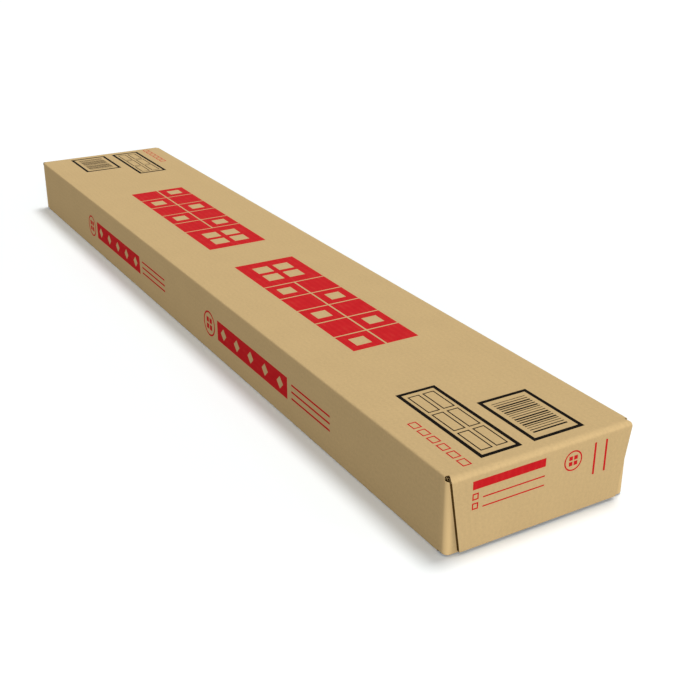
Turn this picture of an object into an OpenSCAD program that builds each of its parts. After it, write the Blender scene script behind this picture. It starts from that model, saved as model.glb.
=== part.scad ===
// Long corrugated carton for four-foot ceiling grid tees, folded from one blank and closed at both ends.
// The long axis is X, +Z is up, and the origin is the middle of the underside.

/* [Carton] */
// Clear length inside, between the innermost flaps
inside_length = 1226; // [700:1:3200]
// Clear width inside, between the side panels
inside_width = 211; // [195:1:420]
// Clear height inside
inside_height = 76.5; // [55:0.5:200]

/* [Board] */
// Thickness of the corrugated board
board = 3.6; // [2:0.1:6]
// Outside radius of the creases between the long panels, whose inner corners are crushed sharp
crease_radius = 2; // [0.5:0.1:6]
// Air between two layers of board that lie on one another
layer_gap = 0.3; // [0.2:0.1:1]

/* [Outer flaps] */
// Angle through which the top panel rolls over the inner flaps before the outer flap's crease
roll_angle = 30; // [10:1:45]
// Inside radius of that roll
roll_radius = 7; // [4:0.5:12]
// Inside radius of the outer flap's crease
wrap_radius = 0.4; // [0.2:0.1:3]
// How deep that crease is scored into each face of the board
score_depth = 0.1; // [0.05:0.05:0.5]
// How far an outer flap's neck stops short of the carton's sides
neck_inset = 4.2; // [2:0.1:12]
// How far an outer flap's crease stops short of them, where the shoulders end
flap_inset = 1.8; // [0.5:0.1:2]
// How far an outer flap narrows from its fold to its free edge, on each side
flap_taper = 12; // [0:0.5:25]
// Height of an outer flap's free edge above the floor
outer_clearance = 3.2; // [0.5:0.1:8]

/* [Inner flaps] */
// How far each side flap reaches in from the carton's side
side_flap_reach = 75; // [30:1:95]
// Inside radius of the side flaps' folds
side_radius = 1.6; // [0.4:0.1:3]
// Inside radius of the bottom flaps' folds
bottom_radius = 0.4; // [0.2:0.1:3]
// Height of the side flaps' lower edges above the floor
floor_clearance = 1.3; // [0.5:0.1:8]
// How far the upper slots between the flaps run past the folds beside them
upper_slot_run = 0.5; // [0.2:0.1:10]
// How far the lower slots run past the bottom flaps' folds
lower_slot_run = 4; // [0.2:0.1:10]
// How far the lower slots are cut up into the side flaps' roots
slot_rise = 1.2; // [0.2:0.1:10]

/* [Glued joint] */
// Height of the lap that turns up inside the far side panel
lap_height = 35; // [25:1:50]
// How far the lap's upper edge is cut back at each end
lap_bevel = 20; // [0:1:40]
// How far the ends of the lap stay back from the slots
lap_end_clearance = 5; // [1:1:40]
// How far the glued band stays back from the lap's edges
glue_margin = 5; // [2:0.5:7]

/* [Hidden] */
$fn = 64;
kraft = [0.78, 0.67, 0.49];

// How far the roll runs on into the scored crease after it
score_cover_angle = 1;

side_outside = side_radius + board;
bottom_outside = bottom_radius + board;
roll_outside = roll_radius + board;
wrap_outside = wrap_radius + board;
layer_step = board + layer_gap;

// Outer faces of the long panels, and half the flat width between their creases
half_width = inside_width / 2 + board;
top_z = inside_height + 2 * board;
flat_half = half_width - crease_radius;

// Outer faces of the three layers at the +X end, from the innermost one out
bottom_face_x = inside_length / 2 + board;
side_face_x = bottom_face_x + layer_step;
outer_face_x = side_face_x + layer_step;

// An outer flap's fold: the roll, then the crease that turns the rest of the way down
roll_start_x = outer_face_x - roll_outside * sin(roll_angle) - wrap_outside * (1 - sin(roll_angle));
wrap_z = top_z - roll_outside * (1 - cos(roll_angle)) - wrap_outside * cos(roll_angle);

// The upper slots run past the folds on both sides of them, and the lower ones further
side_fold_x = side_face_x - side_outside;
bottom_fold_x = bottom_face_x - bottom_outside;
upper_slot_x = min(side_fold_x, roll_start_x) - upper_slot_run;
lower_slot_x = min(bottom_fold_x, upper_slot_x) - lower_slot_run;

// The lap stands one glue line inside the far side panel
lap_face_y = half_width - layer_step;
lap_crease_y = lap_face_y - crease_radius;
lap_end_x = lower_slot_x - lap_end_clearance;

// The side flaps end under the outer flap's crease, and the bottom flap under the roll, clear of the lap
roll_cover = max(bottom_face_x - roll_start_x, 0);
roll_sag = roll_radius - sqrt(max(pow(roll_radius, 2) - pow(roll_cover, 2), 0));
side_flap_top = wrap_z - layer_gap;
side_flap_height = side_flap_top - floor_clearance;
bottom_flap_top = top_z - layer_step - roll_sag;
bottom_flap_half = lap_crease_y;
outer_flap_half = half_width - flap_inset;
neck_half = half_width - neck_inset;

// A bend of the board about the Z axis, from +X towards +Y, or the other way for a turn below zero
module fold(run, inside, turn = 90, score = 0) {
    rotate_extrude(angle = turn)
        translate([inside + score, 0])
            square([board - 2 * score, run]);
}

// A crease that runs along X, centred, in one quadrant of the YZ plane
module crease_along_x(run, quadrant) {
    thickness = min(board, crease_radius);
    translate([-run / 2, 0, 0])
        rotate([90, 0, 90])
            rotate([0, 0, 90 * quadrant])
                rotate_extrude(angle = 90)
                    translate([crease_radius - thickness, 0])
                        square([thickness, run]);
}

// A fold that runs along Y, centred, from the start angle through the turn, both measured from +X up to +Z
module fold_along_y(run, inside, start, turn, score = 0) {
    translate([0, run / 2, 0])
        rotate([90, 0, 0])
            rotate([0, 0, start])
                fold(run, inside, turn, score);
}

// An upright sheet whose two level edges differ in length, with its outer face at X = 0
module tapered_flap(crease_half, free_half, crease_z, free_z) {
    outline = [
        [-crease_half, crease_z],
        [crease_half, crease_z],
        [free_half, free_z],
        [-free_half, free_z]
    ];
    translate([-board, 0, 0])
        rotate([90, 0, 90])
            linear_extrude(board)
                polygon(outline);
}

// The top panel, the two upper creases and the side panels, of which the far one has a cut lower edge
module upper_wrap() {
    top_run = 2 * upper_slot_x;
    side_run = 2 * lower_slot_x;
    translate([-upper_slot_x, -flat_half, top_z - board])
        cube([top_run, 2 * flat_half, board]);
    for (side = [-1, 1]) {
        foot_z = side < 0 ? crease_radius : floor_clearance;
        translate([0, side * flat_half, top_z - crease_radius])
            crease_along_x(top_run, side < 0 ? 1 : 0);
        translate([-lower_slot_x, side * (half_width - board / 2) - board / 2, foot_z])
            cube([side_run, board, top_z - crease_radius - foot_z]);
    }
}

// The bottom panel and its crease into the near side panel
module lower_wrap() {
    run = 2 * lower_slot_x;
    translate([-lower_slot_x, -flat_half, 0])
        cube([run, flat_half + lap_crease_y, board]);
    translate([0, -flat_half, crease_radius])
        crease_along_x(run, 2);
}

// The lap: the bottom panel turned up inside the far side panel, with bevelled ends, and its band of glue
module glue_lap() {
    glue_low = board + glue_margin;
    glue_high = lap_height - glue_margin;
    glue_half = lap_end_x - lap_bevel;
    outline = [
        [-lap_end_x, crease_radius],
        [lap_end_x, crease_radius],
        [lap_end_x - lap_bevel, lap_height],
        [lap_bevel - lap_end_x, lap_height]
    ];
    translate([0, lap_crease_y, crease_radius])
        crease_along_x(2 * lap_end_x, 3);
    translate([0, lap_face_y, 0])
        rotate([90, 0, 0])
            linear_extrude(board)
                polygon(outline);
    translate([-glue_half, lap_face_y, glue_low])
        cube([2 * glue_half, layer_gap, glue_high - glue_low]);
}

// The end of the top panel: a neck, a roll with slanted shoulders, and a crease down into the wide flap
module outer_flap() {
    width = 2 * outer_flap_half;
    crease_x = outer_face_x - wrap_outside * (1 - sin(roll_angle));
    shoulders = [
        [roll_start_x, -neck_half],
        [roll_start_x, neck_half],
        [crease_x, outer_flap_half],
        [outer_face_x, outer_flap_half],
        [outer_face_x, -outer_flap_half],
        [crease_x, -outer_flap_half]
    ];
    translate([upper_slot_x, -neck_half, top_z - board])
        cube([roll_start_x - upper_slot_x, 2 * neck_half, board]);
    intersection() {
        translate([roll_start_x, 0, top_z - roll_outside])
            fold_along_y(width, roll_radius, 90, -roll_angle - score_cover_angle);
        linear_extrude(top_z + board)
            polygon(shoulders);
    }
    translate([outer_face_x - wrap_outside, 0, wrap_z])
        fold_along_y(width, wrap_radius, 0, 90 - roll_angle, score_depth);
    translate([outer_face_x, 0, 0])
        tapered_flap(outer_flap_half, outer_flap_half - flap_taper, wrap_z + score_depth, outer_clearance);
}

// The end of the near side panel, folded round behind the outer flap
module side_flap() {
    fold_y = -half_width + side_outside;
    root_z = floor_clearance + slot_rise;
    translate([lower_slot_x, -half_width, root_z])
        cube([upper_slot_x - lower_slot_x, board, top_z - crease_radius - root_z]);
    translate([upper_slot_x, -half_width, root_z])
        cube([side_fold_x - upper_slot_x, board, side_flap_top - root_z]);
    translate([side_fold_x, fold_y, floor_clearance])
        rotate([0, 0, -90])
            fold(side_flap_height, side_radius);
    translate([side_face_x - board, fold_y, floor_clearance])
        cube([board, side_flap_reach - side_outside, side_flap_height]);
}

// The end of the bottom panel, folded up inside the side flaps
module bottom_flap() {
    translate([lower_slot_x, -bottom_flap_half, 0])
        cube([bottom_fold_x - lower_slot_x, 2 * bottom_flap_half, board]);
    translate([bottom_fold_x, 0, bottom_outside])
        fold_along_y(2 * bottom_flap_half, bottom_radius, -90, 90);
    translate([bottom_face_x, 0, 0])
        tapered_flap(bottom_flap_half, bottom_flap_half - flap_taper, bottom_outside, bottom_flap_top);
}

// The four flaps that close the +X end
module end_closure() {
    outer_flap();
    side_flap();
    mirror([0, 1, 0])
        side_flap();
    bottom_flap();
}

// The whole folded blank
module carton() {
    color(kraft)
        union() {
            upper_wrap();
            lower_wrap();
            glue_lap();
            end_closure();
            mirror([1, 0, 0])
                end_closure();
        }
}

carton();
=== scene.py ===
"""Looks of a long corrugated carton: liners and fluting, a generic print in two inks, and a white studio floor."""
import math

import bmesh
import bpy
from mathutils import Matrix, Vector
from mathutils.geometry import tessellate_polygon


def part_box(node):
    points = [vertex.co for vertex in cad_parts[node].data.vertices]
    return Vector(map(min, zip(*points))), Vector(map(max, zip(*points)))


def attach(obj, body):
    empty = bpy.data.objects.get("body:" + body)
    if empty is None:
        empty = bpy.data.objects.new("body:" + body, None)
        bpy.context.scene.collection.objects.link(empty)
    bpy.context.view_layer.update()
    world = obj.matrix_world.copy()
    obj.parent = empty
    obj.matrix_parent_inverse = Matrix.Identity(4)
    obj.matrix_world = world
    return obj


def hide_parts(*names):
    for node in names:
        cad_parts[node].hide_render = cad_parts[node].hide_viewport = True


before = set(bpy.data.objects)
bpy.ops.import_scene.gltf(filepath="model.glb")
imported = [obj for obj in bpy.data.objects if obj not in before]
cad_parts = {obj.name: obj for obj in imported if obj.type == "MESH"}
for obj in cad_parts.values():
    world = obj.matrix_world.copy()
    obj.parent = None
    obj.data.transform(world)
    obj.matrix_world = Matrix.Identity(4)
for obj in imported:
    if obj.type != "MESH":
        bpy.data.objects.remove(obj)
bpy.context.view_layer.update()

MM = 0.001
QUARTER = math.pi / 2

# Board and folds, in metres, with the sizes of the part's source
BOARD = 3.6 * MM
CREASE_RADIUS = 2.0 * MM
LAYER_GAP = 0.3 * MM
ROLL_ANGLE = math.radians(30)
ROLL_RADIUS = 7.0 * MM
WRAP_RADIUS = 0.4 * MM
NECK_INSET = 4.2 * MM
FLAP_INSET = 1.8 * MM
FLAP_TAPER = 12.0 * MM
OUTER_CLEARANCE = 3.2 * MM
SIDE_FLAP_REACH = 75.0 * MM
SIDE_RADIUS = 1.6 * MM
BOTTOM_RADIUS = 0.4 * MM
FLOOR_CLEARANCE = 1.3 * MM
UPPER_SLOT_RUN = 0.5 * MM
LOWER_SLOT_RUN = 4.0 * MM
SLOT_RISE = 1.2 * MM
LAP_HEIGHT = 35.0 * MM
LAP_BEVEL = 20.0 * MM
LAP_END_CLEARANCE = 5.0 * MM

# What the board is made of: two flat liners with a waved sheet between them
LINER = 0.5 * MM
FLUTING = 0.4 * MM
FLUTE_PITCH = 7.66 * MM
FLUTE_BITE = 0.02 * MM

# How finely flutes and folds are divided, how far the board gives way beside a fold, and how near is the same place
FLUTE_STEPS = 10
FOLD_STEPS = 8
EASE = 4.0 * MM
CRUSHED_RADIUS = 0.15 * MM
SHOULDER_START = 0.1
SAME = 0.04 * MM
WELD_DIGITS = 4
SHARP_ANGLE = math.radians(35)

# Where the side flaps' folds are lightened, partly as rubbed wear and partly as a painted highlight, in parts of their
# turn
RUB_AND_HIGHLIGHT_LEAD = 0.35
RUB_AND_HIGHLIGHT_SLOPE = 1.6
RUB_AND_HIGHLIGHT_END = 1.01

# Which of the board's two papers a face shows: the kraft face, or the core, whose dark colour is partly darker fluting
# paper and partly painted shade inside the board
FACE, CORE = 0, 1

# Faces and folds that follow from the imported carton's box
HALF_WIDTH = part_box("carton")[1].y
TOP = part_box("carton")[1].z
OUTER_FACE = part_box("carton")[1].x
SIDE_OUTSIDE = SIDE_RADIUS + BOARD
BOTTOM_OUTSIDE = BOTTOM_RADIUS + BOARD
ROLL_OUTSIDE = ROLL_RADIUS + BOARD
WRAP_OUTSIDE = WRAP_RADIUS + BOARD
LAYER_STEP = BOARD + LAYER_GAP
SIDE_FACE = OUTER_FACE - LAYER_STEP
BOTTOM_FACE = SIDE_FACE - LAYER_STEP
FLAT_HALF = HALF_WIDTH - CREASE_RADIUS
NECK_HALF = HALF_WIDTH - NECK_INSET
OUTER_FLAP_HALF = HALF_WIDTH - FLAP_INSET
ROLL_START = OUTER_FACE - ROLL_OUTSIDE * math.sin(ROLL_ANGLE) - WRAP_OUTSIDE * (1 - math.sin(ROLL_ANGLE))
WRAP_Z = TOP - ROLL_OUTSIDE * (1 - math.cos(ROLL_ANGLE)) - WRAP_OUTSIDE * math.cos(ROLL_ANGLE)
ROLL_SAG = ROLL_RADIUS - math.sqrt(ROLL_RADIUS ** 2 - max(BOTTOM_FACE - ROLL_START, 0) ** 2)
SIDE_FOLD = SIDE_FACE - SIDE_OUTSIDE
BOTTOM_FOLD = BOTTOM_FACE - BOTTOM_OUTSIDE
UPPER_SLOT = min(SIDE_FOLD, ROLL_START) - UPPER_SLOT_RUN
LOWER_SLOT = min(BOTTOM_FOLD, UPPER_SLOT) - LOWER_SLOT_RUN
SIDE_FLAP_TOP = WRAP_Z - LAYER_GAP
BOTTOM_FLAP_TOP = TOP - LAYER_STEP - ROLL_SAG
LAP_CREASE = HALF_WIDTH - LAYER_STEP - CREASE_RADIUS
LAP_END = LOWER_SLOT - LAP_END_CLEARANCE
FOLD_RUN = (ROLL_RADIUS + BOARD / 2) * ROLL_ANGLE + (WRAP_RADIUS + BOARD / 2) * (QUARTER - ROLL_ANGLE)
FLAP_START = ROLL_START + FOLD_RUN


# The folded blank

class Stretch:
    """A straight run, or a quarter turn, of the tube's outline as seen from +X, with the outside on its right."""

    def __init__(self, begin, start, heading, run):
        self.begin = begin
        self.start = start
        self.turns = run is None
        self.run = CREASE_RADIUS * QUARTER if self.turns else run
        self.end = begin + self.run
        self.middle = begin + self.run / 2
        self.ahead = Vector((math.cos(heading), math.sin(heading)))
        self.out = Vector((math.sin(heading), -math.cos(heading)))
        self.corners = []

    def flat(self, p, depth):
        """Y and Z at p along the blank, that deep under the outer face, as if the run had no ends."""
        return self.start + self.ahead * (p - self.begin) - self.out * depth

    def place(self, p, depth):
        """The same, where a turn's inner layers are crushed into its inner corner and the runs beside it give way."""
        radius = max(CREASE_RADIUS - depth, CRUSHED_RADIUS)
        if self.turns:
            turned = (p - self.begin) / self.run * QUARTER
            corner = self.start + self.ahead * CREASE_RADIUS
            centre = corner - (self.out + self.ahead) * (depth + radius)
            return centre + (self.out * math.cos(turned) + self.ahead * math.sin(turned)) * radius
        give = (depth + radius - CREASE_RADIUS) / EASE
        for corner, away in self.corners:
            p += away * give * max(EASE - abs(p - corner), 0)
        return self.flat(p, depth)


def tube_outline():
    """The stretches from the far side's cut foot over the top and round to the lap inside the far side."""
    runs = {
        "far_side": TOP - CREASE_RADIUS - FLOOR_CLEARANCE,
        "far_crease": None,
        "top": 2 * FLAT_HALF,
        "near_crease": None,
        "near_side": TOP - 2 * CREASE_RADIUS,
        "low_crease": None,
        "bottom": FLAT_HALF + LAP_CREASE,
        "lap_crease": None,
        "lap": LAP_HEIGHT - CREASE_RADIUS,
    }
    begin = 0
    start = Vector((HALF_WIDTH, FLOOR_CLEARANCE))
    heading = QUARTER
    made = {}
    for name, run in runs.items():
        made[name] = Stretch(begin, start, heading, run)
        begin = made[name].end
        start = made[name].place(begin, 0)
        heading += QUARTER if run is None else 0
    stretches = list(made.values())
    for before, turn, after in zip(stretches, stretches[1:], stretches[2:]):
        if turn.turns:
            before.corners.append((before.end, -1))
            after.corners.append((after.begin, 1))
    return made


TUBE = tube_outline()


def tube_place(x, p, depth):
    """A point of the tube. The lap's ends are cut on a slant."""
    stretch = next((s for s in TUBE.values() if p <= s.end), TUBE["lap"])
    rise = max(p - TUBE["lap"].begin, 0) / TUBE["lap"].run
    y, z = stretch.place(p, depth)
    return Vector((x * (1 - rise * LAP_BEVEL / LAP_END), y, z))


class Flap:
    """The end of a long panel, folded in through a quarter turn and running on flat, between p = low and p = high."""

    def __init__(self, panel, end, slot, fold, bends, reach, low, high, taper=0, root=None):
        self.panel = panel
        self.end = end
        self.slot = slot
        self.fold = fold
        self.bends = bends
        self.reach = reach
        self.low = low
        self.high = high
        self.taper = taper
        self.root = root or (low, high)

    def stops(self):
        """Where along the blank the flap is divided, from its fold to its free edge."""
        stops = [self.fold]
        for inside, turn in self.bends:
            start, run = stops[-1], (inside + BOARD / 2) * turn
            stops += [start + run * k / FOLD_STEPS for k in range(1, FOLD_STEPS + 1)]
        flat = stops[-1]
        return [self.end * x for x in (*stops, flat + EASE, flat + self.reach)]

    def across(self, p, past_fold, free):
        """Where p comes to lie across the flap, which widens over its shoulders and then tapers."""
        low, high = self.root
        inside, turn = self.bends[0]
        shoulder = max(SHOULDER_START, min(past_fold / ((inside + BOARD / 2) * turn), 1))
        kept = min(max(p, low), high)
        widened = kept + (p - kept) * shoulder
        middle = (self.low + self.high) / 2
        return middle + (widened - middle) * (1 - 2 * self.taper * free / (self.reach * (self.high - self.low)))

    def place(self, x, p, depth):
        along = min(abs(x), self.fold)
        past_fold = left = abs(x) - along
        inward = turned = 0
        for inside, turn in self.bends:
            angle = turned + min(left / (inside + BOARD / 2), turn)
            along += (inside + BOARD) * (math.sin(angle) - math.sin(turned))
            inward += (inside + BOARD) * (math.cos(turned) - math.cos(angle))
            left -= (angle - turned) * (inside + BOARD / 2)
            turned = angle
        along -= depth * math.sin(turned)
        inward += depth * math.cos(turned) + left
        y, z = self.panel.flat(self.across(p, past_fold, left), inward)
        return Vector((self.end * along, y, z))


def flaps_at(end):
    """The four flaps of one end."""
    top, bottom = TUBE["top"], TUBE["bottom"]
    near, far = TUBE["near_side"], TUBE["far_side"]
    wrap = [(ROLL_RADIUS, ROLL_ANGLE), (WRAP_RADIUS, QUARTER - ROLL_ANGLE)]
    side_reach = SIDE_FLAP_REACH - SIDE_OUTSIDE
    near_head = near.begin + near.start.y - SIDE_FLAP_TOP
    near_foot = near.begin + near.start.y - FLOOR_CLEARANCE
    far_head = far.begin + SIDE_FLAP_TOP - far.start.y
    bottom_middle = bottom.begin + FLAT_HALF
    return {
        "outer": Flap(top, end, UPPER_SLOT, ROLL_START, wrap, WRAP_Z - OUTER_CLEARANCE,
                      top.middle - OUTER_FLAP_HALF, top.middle + OUTER_FLAP_HALF, FLAP_TAPER,
                      root=(top.middle - NECK_HALF, top.middle + NECK_HALF)),
        "near": Flap(near, end, UPPER_SLOT, SIDE_FOLD, [(SIDE_RADIUS, QUARTER)], side_reach,
                     near_head, near_foot, root=(near_head, near_foot - SLOT_RISE)),
        "far": Flap(far, end, UPPER_SLOT, SIDE_FOLD, [(SIDE_RADIUS, QUARTER)], side_reach,
                    far.begin, far_head, root=(far.begin + SLOT_RISE, far_head)),
        "bottom": Flap(bottom, end, LOWER_SLOT, BOTTOM_FOLD, [(BOTTOM_RADIUS, QUARTER)],
                       BOTTOM_FLAP_TOP - BOTTOM_OUTSIDE,
                       bottom_middle - LAP_CREASE, bottom_middle + LAP_CREASE, FLAP_TAPER),
    }


FLAPS = [flap for end in (1, -1) for flap in flaps_at(end).values()]


def span(stops, low, high):
    """The stops between low and high, with both of those at the ends and none doubled."""
    inner = [s for s in sorted(stops) if low + SAME < s < high - SAME]
    return [low] + [s for k, s in enumerate(inner) if k == 0 or s - inner[k - 1] > SAME] + [high]


def fold_stops():
    """Stops across the blank that every sheet needs: creases, the edges of the flaps, and easing beside folds."""
    stops = [edge for flap in FLAPS for edge in (flap.low, flap.high, *flap.root)]
    for stretch in TUBE.values():
        stops += [stretch.begin, stretch.end]
        if stretch.turns:
            stops += [stretch.begin + stretch.run * k / FOLD_STEPS for k in range(1, FOLD_STEPS)]
        else:
            stops += [stretch.begin + EASE, stretch.end - EASE]
    return stops


def flute_stops():
    """Stops that follow the waves of the fluting."""
    step = FLUTE_PITCH / FLUTE_STEPS
    return fold_stops() + [step * k for k in range(int(TUBE["lap"].end / step))]


def regions(stops):
    """Each stretch of the blank as its stops along X, its stops across, and its place in space."""
    upper = span(stops, TUBE["far_side"].begin, TUBE["near_side"].end)
    lower = span(stops, TUBE["low_crease"].begin, TUBE["bottom"].end)
    lap = span(stops, TUBE["lap_crease"].begin, TUBE["lap"].end)
    near_root = TUBE["near_side"].end - (FLOOR_CLEARANCE + SLOT_RISE - CREASE_RADIUS)
    slotted = span(stops, TUBE["far_side"].begin + SLOT_RISE, near_root)
    tube = [-LOWER_SLOT, -LAP_END, LAP_END, LOWER_SLOT]
    made = [(tube, upper, tube_place), (tube, lower, tube_place), ([-LAP_END, LAP_END], lap, tube_place)]
    for end in (1, -1):
        made.append(([end * LOWER_SLOT, end * UPPER_SLOT], slotted, tube_place))
    for flap in FLAPS:
        made.append(([flap.end * flap.slot, flap.end * flap.fold], span(stops, *flap.root), flap.place))
        made.append((flap.stops(), span(stops, flap.low, flap.high), flap.place))
    return made


class Sheet:
    """One closed paper sheet of the blank, gathered as vertices, faces, their papers and blank coordinates."""

    def __init__(self, outer, inner, papers):
        self.depths = (outer, inner)
        self.skins = papers
        self.points = []
        self.blank = []
        self.faces = []
        self.papers = []
        self.known = {}

    def vertex(self, x, p, place, layer):
        at = place(x, p, self.depths[layer](p))
        key = (layer, *(round(c / MM, WELD_DIGITS) for c in at))
        if key not in self.known:
            self.known[key] = len(self.points)
            self.points.append(at)
            self.blank.append((x, p))
        return self.known[key]

    def gather(self, parts):
        """Both skins of every cell, then the rim along each edge that only one cell has."""
        edges = {}
        for xs, ps, place in parts:
            for x0, x1 in zip(xs, xs[1:]):
                for p0, p1 in zip(ps, ps[1:]):
                    ring = [(x0, p0), (x1, p0), (x1, p1), (x0, p1)]
                    skins = [[self.vertex(x, p, place, layer) for x, p in ring] for layer in (0, 1)]
                    self.faces += [skins[0], skins[1][::-1]]
                    self.papers += self.skins
                    for k in range(4):
                        outer = (skins[0][k - 1], skins[0][k])
                        inner = (skins[1][k - 1], skins[1][k])
                        edges.setdefault(frozenset(outer), []).append(outer + inner[::-1])
        rims = [rim[0] for rim in edges.values() if len(rim) == 1]
        self.faces += rims
        self.papers += [self.rim_paper([self.blank[v] for v in rim]) for rim in rims]
        return self

    def rim_paper(self, ring):
        """A cut edge is pressed shut in the folds, and shows the core along the free flaps and in the lower slots,
        where the core's dark colour paints the shade in the cut edge and the slot.
        """
        in_fold = all(abs(x) < FLAP_START for x, p in ring)
        in_slot = all(abs(x) > LOWER_SLOT - CRUSHED_RADIUS and p > TUBE["low_crease"].begin for x, p in ring)
        return FACE if in_fold and not in_slot else CORE


def wave(p):
    """Depth of the middle of the fluting under the outer face."""
    swing = (BOARD - FLUTING) / 2 - LINER + FLUTE_BITE
    return BOARD / 2 + swing * math.sin(2 * math.pi * (p - TUBE["top"].middle) / FLUTE_PITCH)


def rub_and_highlight(x, p):
    """How far the liner is lightened there, partly as rubbed wear and partly as a painted highlight: along the outside
    of the side flaps' folds, and a little before them.
    """
    turned = (abs(x) - SIDE_FOLD) / ((SIDE_RADIUS + BOARD / 2) * QUARTER)
    on_side = p <= TUBE["far_side"].end or TUBE["near_side"].begin <= p <= TUBE["low_crease"].end
    return min(RUB_AND_HIGHLIGHT_SLOPE * (turned + RUB_AND_HIGHLIGHT_LEAD), 1) if on_side and -RUB_AND_HIGHLIGHT_LEAD < turned < RUB_AND_HIGHLIGHT_END else 0


def board_mesh():
    """The whole folded board: outer liner, fluting and inner liner."""
    flat, waved = regions(fold_stops()), regions(flute_stops())
    # The fluting and the liners' inner skins take the dark core paper: partly its own darker tone, partly painted shade
    # inside the board
    sheets = [
        Sheet(lambda p: 0, lambda p: LINER, [FACE, CORE]).gather(flat),
        Sheet(lambda p: wave(p) - FLUTING / 2, lambda p: wave(p) + FLUTING / 2, [CORE, CORE]).gather(waved),
        Sheet(lambda p: BOARD - LINER, lambda p: BOARD, [CORE, FACE]).gather(flat),
    ]
    points, faces, blank, papers = [], [], [], []
    for sheet in sheets:
        faces += [[v + len(points) for v in face] for face in sheet.faces]
        papers += sheet.papers
        points += sheet.points
        blank += sheet.blank
    mesh = finished_mesh("corrugated_board", points, faces, blank, papers)
    # Marks the side flaps' folds for lightening: partly rubbed wear, partly a painted highlight
    mesh.attributes.new("rub_and_highlight", "FLOAT", "POINT").data.foreach_set("value", [rub_and_highlight(x, p) for x, p in blank])
    return mesh


def finished_mesh(name, points, faces, blank, papers=None):
    """A mesh with outward faces, crisp cut edges, smooth folds and the blank's coordinates as its UV map."""
    mesh = bpy.data.meshes.new(name)
    mesh.from_pydata([tuple(p) for p in points], [], faces)
    if papers:
        mesh.polygons.foreach_set("material_index", papers)
    layer = mesh.uv_layers.new(name="blank")
    for corner in mesh.loops:
        layer.data[corner.index].uv = blank[corner.vertex_index]
    work = bmesh.new()
    work.from_mesh(mesh)
    bmesh.ops.recalc_face_normals(work, faces=work.faces)
    work.to_mesh(mesh)
    work.free()
    mesh.shade_smooth()
    mesh.set_sharp_from_angle(angle=SHARP_ANGLE)
    return mesh


def add_piece(name, mesh, slot, *materials):
    """A piece of the carton that rides on its one body."""
    piece = bpy.data.objects.new(name, mesh)
    bpy.context.scene.collection.objects.link(piece)
    for material in materials:
        mesh.materials.append(material)
    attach(piece, "root")
    return piece


# The print, drawn in millimetres on each face

# How far the ink stands on the paper and is sunk into it, in metres
INK_PROUD = 0.08 * MM
INK_SUNK = 0.05 * MM

# Lines and badges, of which a badge's parts are in parts of its radius
DISC_SIDES = 48
FRAME_LINE = 4.4
FINE_LINE = 1.4
RULE = 2.4
BADGE_HOLE = 0.86
BADGE_TILE = 0.4
BADGE_GAP = 0.14

# Ceiling tiles on the top
TILE = 42
TILE_GAP = 2.4
LAMP_MARGIN = 11
PLAN_LEFT = 40
PLAN_COLUMNS = 7
BARE_TILE = 22
BARE_GAP = 8

# Empty boxes, write-in cells and bars near the top's ends, with frames as left, low, right and high
BOX_LEFTS = range(518, 600, 16)
BOX_WIDTH = 12
BOX_LOW, BOX_HIGH = -85, -75
CELL_FRAME = (462, -62, 606, -14)
CELL_LEFTS = (472, 514.5, 557)
CELL_LOWS = (-54, -36)
CELL_WIDTH, CELL_HEIGHT = 38, 14
BAR_FRAME = (516, 0, 606, 62)
BAR_COUNT = 17
BAR_LEFT = 527
BAR_PITCH = 4
BAR_LOW, BAR_HIGH = 10, 52
BAR_THIN = 0.9
BAR_STEP = 0.35
BAR_CYCLE = 7

# The band along each side, drawn twice
SIDE_REPEAT = 460
SIDE_BADGE = (101, 39.5, 17)
SIDE_BAR = (126, 26, 314, 53)
DIAMOND_MIDDLES = range(144, 300, 38)
DIAMOND_HEIGHT = 39.5
DIAMOND_REACH = 8
SIDE_RULE_LOWS = (30, 38.4, 46.8)
SIDE_RULE_LEFT, SIDE_RULE_RIGHT = 324, 410

# The panel on each end
END_BAR = (-84, 66, 0, 75)
END_LINE_LOWS = (45, 55)
END_LINE_LEFT = -72
END_TICK = 7
END_BADGE = (34, 62, 11)
END_RULE_LEFTS = (60, 74)
END_RULE_LOW, END_RULE_HIGH = 39, 74


class Face:
    """A printed face: its origin and directions in space, and the same on the blank."""

    def __init__(self, origin, right, up, blank, blank_right, blank_up):
        self.origin = Vector(origin)
        self.right = Vector(right)
        self.up = Vector(up)
        self.out = self.right.cross(self.up)
        self.blank = Vector(blank)
        self.blank_right = Vector(blank_right)
        self.blank_up = Vector(blank_up)

    def place(self, u, v, height):
        return self.origin + (self.right * u + self.up * v) * MM + self.out * height

    def on_blank(self, u, v):
        return self.blank + (self.blank_right * u + self.blank_up * v) * MM


def rectangle(left, low, right, high):
    return [(left, low), (right, low), (right, high), (left, high)]


def outline(left, low, right, high, line):
    """A rectangle's outline as a shape: its outer loop and its hole."""
    return [rectangle(left, low, right, high), rectangle(left + line, low + line, right - line, high - line)]


def disc(u, v, radius):
    turns = [2 * math.pi * k / DISC_SIDES for k in range(DISC_SIDES)]
    return [(u + radius * math.cos(turn), v + radius * math.sin(turn)) for turn in turns]


def diamond(u, v, reach):
    return [(u, v - reach), (u + reach, v), (u, v + reach), (u - reach, v)]


def four_tiles(u, v, tile, gap):
    """Four square loops round a point, like the tiles of a ceiling."""
    lows = (-tile - gap / 2, gap / 2)
    return [rectangle(u + a, v + b, u + a + tile, v + b + tile) for a in lows for b in lows]


def badge(u, v, radius):
    """Four tiles in a ring."""
    tiles = [[loop] for loop in four_tiles(u, v, BADGE_TILE * radius, BADGE_GAP * radius)]
    return [[disc(u, v, radius), disc(u, v, BADGE_HOLE * radius)]] + tiles


def turned(shapes):
    """Shapes turned by half a turn about the face's origin."""
    return [[[(-u, -v) for u, v in loop] for loop in shape] for shape in shapes]


def shifted(shapes, across):
    return [[[(u + across, v) for u, v in loop] for loop in shape] for shape in shapes]


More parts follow.
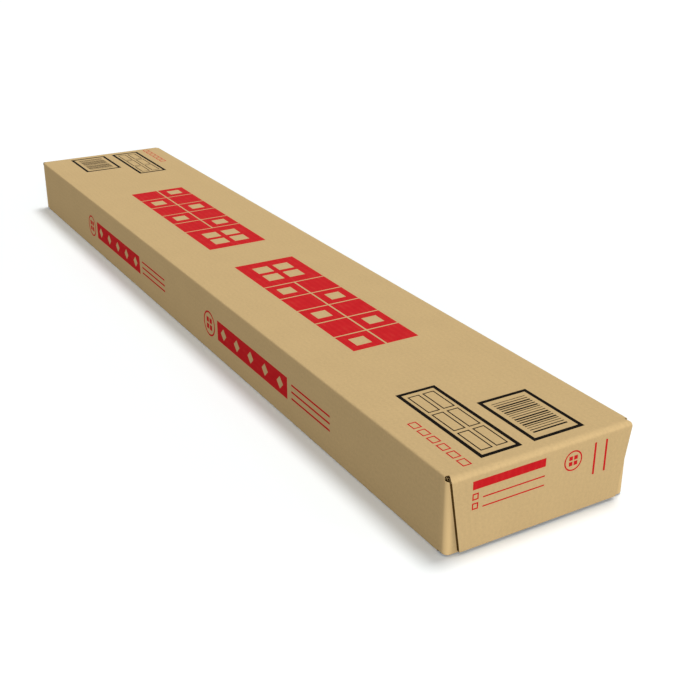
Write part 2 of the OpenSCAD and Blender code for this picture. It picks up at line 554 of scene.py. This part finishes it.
def ceiling_plan():
    """A large square with four tiles left bare, and two rows of tiles, every other one with a bare lamp panel."""
    pitch = TILE + TILE_GAP
    low = -TILE - TILE_GAP / 2
    large = TILE + pitch
    bare = four_tiles(PLAN_LEFT + large / 2, low + large / 2, BARE_TILE, BARE_GAP)
    shapes = [[rectangle(PLAN_LEFT, low, PLAN_LEFT + large, low + large)] + bare]
    for column in range(2, PLAN_COLUMNS):
        for row in range(2):
            u, v = PLAN_LEFT + column * pitch, low + row * pitch
            tile = outline(u, v, u + TILE, v + TILE, LAMP_MARGIN)
            shapes.append(tile[:1] if (column + row) % 2 else tile)
    return shapes


def empty_boxes():
    """A row of small empty boxes."""
    return [outline(u, BOX_LOW, u + BOX_WIDTH, BOX_HIGH, FINE_LINE) for u in BOX_LEFTS]


def write_in_frame():
    """A heavy frame with a grid of write-in cells."""
    cells = [outline(u, v, u + CELL_WIDTH, v + CELL_HEIGHT, FINE_LINE) for v in CELL_LOWS for u in CELL_LEFTS]
    return [outline(*CELL_FRAME, FRAME_LINE)] + cells


def bar_frame():
    """A heavy frame round bars of varied widths that stand for no number."""
    shapes = [outline(*BAR_FRAME, FRAME_LINE)]
    for k in range(BAR_COUNT):
        u = BAR_LEFT + BAR_PITCH * k
        shapes.append([rectangle(u, BAR_LOW, u + BAR_THIN + BAR_STEP * (k * k % BAR_CYCLE), BAR_HIGH)])
    return shapes


def side_band():
    """A badge, a bar with a row of bare diamonds, and short rules."""
    bare = [diamond(u, DIAMOND_HEIGHT, DIAMOND_REACH) for u in DIAMOND_MIDDLES]
    bar = [[rectangle(*SIDE_BAR)] + bare]
    rules = [[rectangle(SIDE_RULE_LEFT, v, SIDE_RULE_RIGHT, v + RULE)] for v in SIDE_RULE_LOWS]
    return badge(*SIDE_BADGE) + bar + rules


def end_panel():
    """A bold bar over two ticked lines, a badge and two upright rules."""
    left, _, right, _ = END_BAR
    lines = [[rectangle(*END_BAR)]]
    for v in END_LINE_LOWS:
        lines += [outline(left, v, left + END_TICK, v + END_TICK, FINE_LINE),
                  [rectangle(END_LINE_LEFT, v, right, v + FINE_LINE)]]
    rules = [[rectangle(u, END_RULE_LOW, u + RULE, END_RULE_HIGH)] for u in END_RULE_LEFTS]
    return lines + badge(*END_BADGE) + rules


def printed_faces():
    """Each printed piece's name with its face, its shapes and whether it is black."""
    top, near, far = TUBE["top"], TUBE["near_side"], TUBE["far_side"]
    foot = FLAP_START + WRAP_Z
    deck = Face((0, 0, TOP), (1, 0, 0), (0, 1, 0), (0, top.middle), (1, 0), (0, -1))
    near_side = Face((0, -HALF_WIDTH, 0), (1, 0, 0), (0, 0, 1), (0, near.begin + near.start.y), (1, 0), (0, -1))
    far_side = Face((0, HALF_WIDTH, 0), (-1, 0, 0), (0, 0, 1), (0, -FLOOR_CLEARANCE), (-1, 0), (0, 1))
    near_end = Face((OUTER_FACE, 0, 0), (0, 1, 0), (0, 0, 1), (foot, top.middle), (0, -1), (-1, 0))
    far_end = Face((-OUTER_FACE, 0, 0), (0, -1, 0), (0, 0, 1), (-foot, top.middle), (0, 1), (1, 0))
    red = ceiling_plan() + empty_boxes()
    black = write_in_frame() + bar_frame()
    band = side_band() + shifted(side_band(), -SIDE_REPEAT)
    return {
        "print_top_red": (deck, red + turned(red), False),
        "print_top_black": (deck, black + turned(black), True),
        "print_near_side_red": (near_side, band, False),
        "print_far_side_red": (far_side, band, False),
        "print_near_end_red": (near_end, end_panel(), False),
        "print_far_end_red": (far_end, end_panel(), False),
    }


def ink_mesh(name, face, shapes):
    """Shapes of outer loops and holes as thin closed prisms, sunk a little into the paper."""
    points, faces, blank = [], [], []
    for loops in shapes:
        base = len(points)
        flat = [corner for loop in loops for corner in loop]
        count = len(flat)
        for height in (INK_PROUD, -INK_SUNK):
            points += [face.place(u, v, height) for u, v in flat]
            blank += [face.on_blank(u, v) for u, v in flat]
        for triangle in tessellate_polygon([[Vector((u, v, 0)) for u, v in loop] for loop in loops]):
            faces += [[base + k for k in triangle], [base + count + k for k in reversed(triangle)]]
        start = base
        for loop in loops:
            for k in range(len(loop)):
                a, b = start + k, start + (k + 1) % len(loop)
                faces.append([a, b, b + count, a + count])
            start += len(loop)
    return finished_mesh(name, points, faces, blank)


# Materials

KRAFT = (0.537, 0.380, 0.183)
RED = (0.530, 0.011, 0.015)
BLACK = (0.004, 0.003, 0.002)
# The core paper: somewhat darker fluting paper, made much darker as painted shade in the flute voids and cut edges
CORE_BROWN_AND_SHADE = (0.085, 0.043, 0.007)

# Scales of the textures, per metre of the blank, or along and across it
RIB_SCALE = 2 * math.pi / (20 * FLUTE_PITCH)
RIB_DISTORTION = 0.6
CLOUD_SCALE = 24
FORMATION_SCALE = 330
FIBRE_SCALES = (2400, 380)
FLECK_SCALES = (1500, 500)
INK_CLOUD_SCALE = 60
SPECK_SCALES = (1900, 700)

# Paper: shares of its tone and relief, where its ramps turn, and its shades, roughness, gloss and bump
CLOUD_SHARE, FORMATION_SHARE, FIBRE_SHARE = 0.15, 0.45, 0.40
DARK_TONE, MEAN_TONE, LIGHT_TONE = 0.34, 0.5, 0.66
FLECK_START, FLECK_FULL = 0.70, 0.80
FLECK_SHADE = 0.72
# How much lighter the side flaps' folds are painted: partly rubbed wear, partly a painted highlight
RUB_AND_HIGHLIGHT_SHADE = 1.2
FIBRE_RELIEF, FORMATION_RELIEF, RIB_RELIEF = 0.5, 0.3, 6
PAPER_ROUGHNESS = (0.78, 0.96)
PAPER_GLOSS = 0.08
PAPER_BUMP = (0.5, 0.06 * MM)
LINER_CONTRAST, LINER_RIBS = 0.078, 0.03
CORE_CONTRAST, CORE_RIBS = 0.14, 0

# Ink: the same, with how far the paper shows through and the gloss of each colour
INK_CLOUD_SHARE, SPECK_SHARE, INK_RIB_SHARE = 0.45, 0.45, 0.10
THICK_TONE, EVEN_TONE, BARE_TONE = 0.36, 0.52, 0.72
THICK_SHADE = 0.92
SPECK_RELIEF, INK_RIB_RELIEF = 0.6, 0.3
INK_ROUGHNESS = (0.55, 0.8)
INK_BUMP = (0.4, 0.05 * MM)
RED_SHOW, RED_GLOSS = 0.06, 0.04
BLACK_SHOW, BLACK_GLOSS = 0.03, 0.02

# The sockets of a colour mix
MIX_FIRST, MIX_SECOND, MIX_RESULT = 6, 7, 2
NONE, FULL = (0, 0, 0, 1), (1, 1, 1, 1)


def add(tree, kind, inputs=None, **settings):
    """A shader node with its settings, and its inputs set to values or linked to other nodes' outputs."""
    made = tree.nodes.new(kind)
    for name, value in settings.items():
        setattr(made, name, value)
    for name, value in (inputs or {}).items():
        if isinstance(value, bpy.types.NodeSocket):
            tree.links.new(value, made.inputs[name])
        else:
            made.inputs[name].default_value = value
    return made


def shade(colour, factor):
    """A colour with its brightness multiplied."""
    return (*(c * factor for c in colour), 1)


def noise(tree, vector, scale, detail):
    return add(tree, "ShaderNodeTexNoise", {"Vector": vector, "Scale": scale, "Detail": detail}).outputs["Fac"]


def streaks(tree, vector, scales, detail):
    """Noise with its own scale along and across the blank."""
    along, across = scales
    stretched = add(tree, "ShaderNodeMapping", {"Vector": vector, "Scale": (along, across, 1)})
    return noise(tree, stretched.outputs["Vector"], 1, detail)


def ribs_of_fluting(tree, vector):
    """The ribs that the fluting leaves in the paper over it."""
    inputs = {"Vector": vector, "Scale": RIB_SCALE, "Distortion": RIB_DISTORTION}
    return add(tree, "ShaderNodeTexWave", inputs, bands_direction="Y").outputs["Fac"]


def total(tree, *terms):
    """The weighted sum of sockets."""
    result = None
    for socket, weight in terms:
        inputs = {0: socket, 1: weight}
        if result is None:
            result = add(tree, "ShaderNodeMath", inputs, operation="MULTIPLY").outputs[0]
        else:
            inputs[2] = result
            result = add(tree, "ShaderNodeMath", inputs, operation="MULTIPLY_ADD").outputs[0]
    return result


def ramp(tree, factor, *stops):
    """A colour ramp through (place, colour) stops."""
    made = add(tree, "ShaderNodeValToRGB", {"Fac": factor})
    elements = made.color_ramp.elements
    while len(elements) < len(stops):
        elements.new(1)
    for element, (place, colour) in zip(elements, stops):
        element.position = place
        element.color = colour
    return made.outputs["Color"]


def blend(tree, factor, first, second):
    """A mix of two colours."""
    inputs = {"Factor": factor, MIX_FIRST: first, MIX_SECOND: second}
    return add(tree, "ShaderNodeMix", inputs, data_type="RGBA").outputs[MIX_RESULT]


def new_material(name):
    """A material, its nodes, and the blank's coordinates in them."""
    material = bpy.data.materials.new(name)
    material.use_nodes = True
    tree = material.node_tree
    return material, tree, add(tree, "ShaderNodeUVMap", uv_map="blank").outputs["UV"]


def set_surface(tree, colour, rough, roughness, gloss, relief, bump):
    """Sets the surface's colour, its range of roughness, its gloss, and its bump's strength and depth."""
    surface = tree.nodes["Principled BSDF"]
    (smooth, coarse), (strength, depth) = roughness, bump
    ranged = add(tree, "ShaderNodeMapRange", {"Value": rough, "To Min": smooth, "To Max": coarse})
    bumped = add(tree, "ShaderNodeBump", {"Height": relief, "Strength": strength, "Distance": depth})
    tree.links.new(colour, surface.inputs["Base Color"])
    tree.links.new(ranged.outputs[0], surface.inputs["Roughness"])
    tree.links.new(bumped.outputs["Normal"], surface.inputs["Normal"])
    surface.inputs["Specular IOR Level"].default_value = gloss


def paper_material(name, colour, contrast, rib_share):
    """Kraft paper: cloudy formation, fine fibres, a few dark flecks, ribs of the fluting, and folds lightened partly by
    rubbing and partly by a painted highlight.
    """
    material, tree, blank = new_material(name)
    clouds = noise(tree, blank, CLOUD_SCALE, 3)
    formation = noise(tree, blank, FORMATION_SCALE, 4)
    fibres = streaks(tree, blank, FIBRE_SCALES, 3)
    flecks = streaks(tree, blank, FLECK_SCALES, 1)
    ribs = ribs_of_fluting(tree, blank)
    tone = total(tree, (clouds, CLOUD_SHARE), (formation, FORMATION_SHARE), (fibres, FIBRE_SHARE - rib_share),
                 (ribs, rib_share))
    kraft = ramp(tree, tone, (DARK_TONE, shade(colour, 1 - contrast)), (MEAN_TONE, shade(colour, 1)),
                 (LIGHT_TONE, shade(colour, 1 + contrast)))
    speckle = ramp(tree, flecks, (FLECK_START, NONE), (FLECK_FULL, FULL))
    flecked = blend(tree, speckle, kraft, shade(colour, FLECK_SHADE))
    # The side flaps' folds lightened: partly rubbed wear, partly a painted highlight
    rub_and_highlight_mask = add(tree, "ShaderNodeAttribute", attribute_name="rub_and_highlight").outputs["Fac"]
    mixed = blend(tree, rub_and_highlight_mask, flecked, shade(colour, RUB_AND_HIGHLIGHT_SHADE))
    relief = total(tree, (fibres, FIBRE_RELIEF), (formation, FORMATION_RELIEF), (ribs, RIB_RELIEF * rib_share))
    set_surface(tree, mixed, formation, PAPER_ROUGHNESS, PAPER_GLOSS, relief, PAPER_BUMP)
    return material


def ink_material(name, colour, show, gloss):
    """Flat printing ink that lets a little of the paper through in specks and along the fluting."""
    material, tree, blank = new_material(name)
    clouds = noise(tree, blank, INK_CLOUD_SCALE, 3)
    specks = streaks(tree, blank, SPECK_SCALES, 3)
    ribs = ribs_of_fluting(tree, blank)
    tone = total(tree, (clouds, INK_CLOUD_SHARE), (specks, SPECK_SHARE), (ribs, INK_RIB_SHARE))
    bare = tuple((1 - show) * c + show * k for c, k in zip(colour, KRAFT))
    mixed = ramp(tree, tone, (THICK_TONE, shade(colour, THICK_SHADE)), (EVEN_TONE, shade(colour, 1)),
                 (BARE_TONE, shade(bare, 1)))
    relief = total(tree, (specks, SPECK_RELIEF), (ribs, INK_RIB_RELIEF))
    set_surface(tree, mixed, specks, INK_ROUGHNESS, gloss, relief, INK_BUMP)
    return material


# The board and its print

liner_paper = paper_material("kraft_liner", KRAFT, LINER_CONTRAST, LINER_RIBS)
# The dark core paper: partly darker fluting, partly painted shade
core_paper_and_shade = paper_material("kraft_core_and_shade", CORE_BROWN_AND_SHADE, CORE_CONTRAST, CORE_RIBS)
red_ink = ink_material("red_print", RED, RED_SHOW, RED_GLOSS)
black_ink = ink_material("black_print", BLACK, BLACK_SHOW, BLACK_GLOSS)

board = add_piece("corrugated_board", board_mesh(), "kraft_board", liner_paper, core_paper_and_shade)
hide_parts("carton")
for name, (face, shapes, is_black) in printed_faces().items():
    ink, slot = (black_ink, "black_ink") if is_black else (red_ink, "red_ink")
    add_piece(name, ink_mesh(name, face, shapes), slot, ink)


# Camera, floor and light

CAMERA_AZIMUTH = math.radians(59.853)
CAMERA_ELEVATION = math.radians(24.047)
CAMERA_DISTANCE = 1.3380
CAMERA_TARGET = Vector((0.2272, 0.0065, 0.0426))
CAMERA_LENS = 57.959
SENSOR = 36
FLOOR_HALF = 12
# A hair above the carton's underside, so that the two don't lie in one plane
FLOOR_LEVEL = 0.02 * MM
FLOOR_WHITE = (0.965, 0.995, 1, 1)
FLOOR_BOUNCE = 0.3
AMBIENT = 0.355
KEY_LEVEL = 0.555
KEY_DIRECTION = Vector((-0.075, 0.27, 1))
KEY_SOFTNESS = math.radians(18)
SIDE_LEVEL = 0.82
SIDE_DIRECTION = Vector((0.86, -0.365, 0.16))
SIDE_SOFTNESS = math.radians(40)
FRONT_LEVEL = 0.34
FRONT_DIRECTION = Vector((0.70, 0.70, 0.08))
FRONT_SOFTNESS = math.radians(36)


def add_camera():
    """The camera at the photograph's viewing angle."""
    data = bpy.data.cameras.new("camera")
    data.lens = CAMERA_LENS
    data.sensor_width = SENSOR
    camera = bpy.data.objects.new("camera", data)
    bpy.context.scene.collection.objects.link(camera)
    level = math.cos(CAMERA_ELEVATION)
    back = Vector((math.sin(CAMERA_AZIMUTH) * level, -math.cos(CAMERA_AZIMUTH) * level, math.sin(CAMERA_ELEVATION)))
    camera.location = CAMERA_TARGET + back * CAMERA_DISTANCE
    camera.rotation_euler = back.to_track_quat("Z", "Y").to_euler()
    bpy.context.scene.camera = camera


def add_floor():
    """A floor that the camera sees as white, with the carton's shadow, and that throws back less light than white."""
    mesh = bpy.data.meshes.new("floor")
    signs = [(-1, -1), (1, -1), (1, 1), (-1, 1)]
    corners = [(FLOOR_HALF * x, FLOOR_HALF * y, FLOOR_LEVEL) for x, y in signs]
    mesh.from_pydata(corners, [], [(0, 1, 2, 3)])
    floor = bpy.data.objects.new("floor", mesh)
    bpy.context.scene.collection.objects.link(floor)
    material = bpy.data.materials.new("floor_white")
    material.use_nodes = True
    tree = material.node_tree
    tree.nodes.remove(tree.nodes["Principled BSDF"])
    seen = add(tree, "ShaderNodeBsdfDiffuse", {"Color": FLOOR_WHITE})
    bounced = add(tree, "ShaderNodeBsdfDiffuse", {"Color": (FLOOR_BOUNCE, FLOOR_BOUNCE, FLOOR_BOUNCE, 1)})
    path = add(tree, "ShaderNodeLightPath")
    mixed = add(tree, "ShaderNodeMixShader",
                {0: path.outputs["Is Camera Ray"], 1: bounced.outputs[0], 2: seen.outputs[0]})
    tree.links.new(mixed.outputs[0], tree.nodes["Material Output"].inputs["Surface"])
    mesh.materials.append(material)


def add_world():
    """Even light from all round, behind which the camera sees white."""
    world = bpy.data.worlds.new("studio")
    bpy.context.scene.world = world
    world.use_nodes = True
    tree = world.node_tree
    light = tree.nodes["Background"]
    light.inputs["Color"].default_value = FULL
    light.inputs["Strength"].default_value = AMBIENT
    white = add(tree, "ShaderNodeBackground", {"Color": FULL, "Strength": 1})
    path = add(tree, "ShaderNodeLightPath")
    seen = path.outputs["Is Camera Ray"]
    for other in ("Is Glossy Ray", "Is Transmission Ray"):
        seen = add(tree, "ShaderNodeMath", {0: seen, 1: path.outputs[other]}, operation="MAXIMUM").outputs[0]
    mixed = add(tree, "ShaderNodeMixShader", {0: seen, 1: light.outputs[0], 2: white.outputs[0]})
    tree.links.new(mixed.outputs[0], tree.nodes["World Output"].inputs["Surface"])


def add_sun(name, level, direction, softness):
    """A broad soft lamp, far off in that direction, at the level that shows a white card as that bright."""
    data = bpy.data.lights.new(name, "SUN")
    data.energy = level * math.pi
    data.angle = softness
    lamp = bpy.data.objects.new(name, data)
    bpy.context.scene.collection.objects.link(lamp)
    lamp.rotation_euler = direction.to_track_quat("Z", "Y").to_euler()


add_camera()
add_floor()
add_world()
add_sun("key", KEY_LEVEL, KEY_DIRECTION, KEY_SOFTNESS)
add_sun("side", SIDE_LEVEL, SIDE_DIRECTION, SIDE_SOFTNESS)
add_sun("front", FRONT_LEVEL, FRONT_DIRECTION, FRONT_SOFTNESS)
bpy.context.scene.view_settings.view_transform = "Standard"
